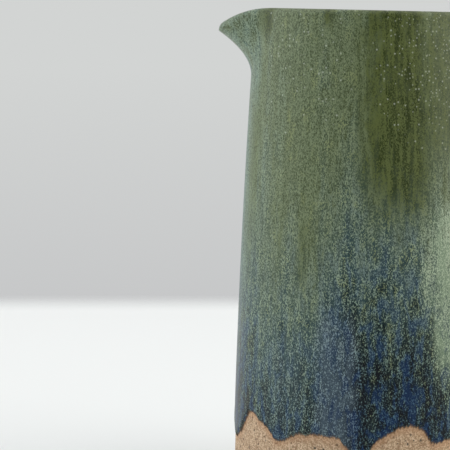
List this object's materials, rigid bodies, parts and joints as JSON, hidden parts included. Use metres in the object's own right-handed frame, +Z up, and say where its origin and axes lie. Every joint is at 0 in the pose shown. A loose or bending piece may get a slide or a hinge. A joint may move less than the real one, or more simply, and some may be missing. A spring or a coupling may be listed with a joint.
{
  "type": "ceramic pitcher",
  "caption": "Tall tapered stoneware pitcher with a pulled pouring lip, a strap handle and a flat bare foot; holds and pours about 1.2 litres.",
  "frame": {"origin": "centre of the flat foot, on the surface the pitcher stands on", "axes": "+Z up out of the mouth, -X out of the spout, +X out of the handle"},
  "size_m": [0.1559, 0.1103, 0.2019],
  "materials": {
    "stoneware": "bare speckled stoneware, matt",
    "slip": "bare joining slip, matt",
    "reactive_glaze": "satin reactive glaze, sage green breaking to navy",
    "liner_glaze": "satin green liner glaze"
  },
  "bodies": {
    "root": {"clay_body": "stoneware", "handle": "stoneware", "upper_luting": "slip", "lower_luting": "slip", "outer_glaze": "reactive_glaze", "liner_glaze": "liner_glaze", "handle_glaze": "reactive_glaze"}
  },
  "joints": []
}
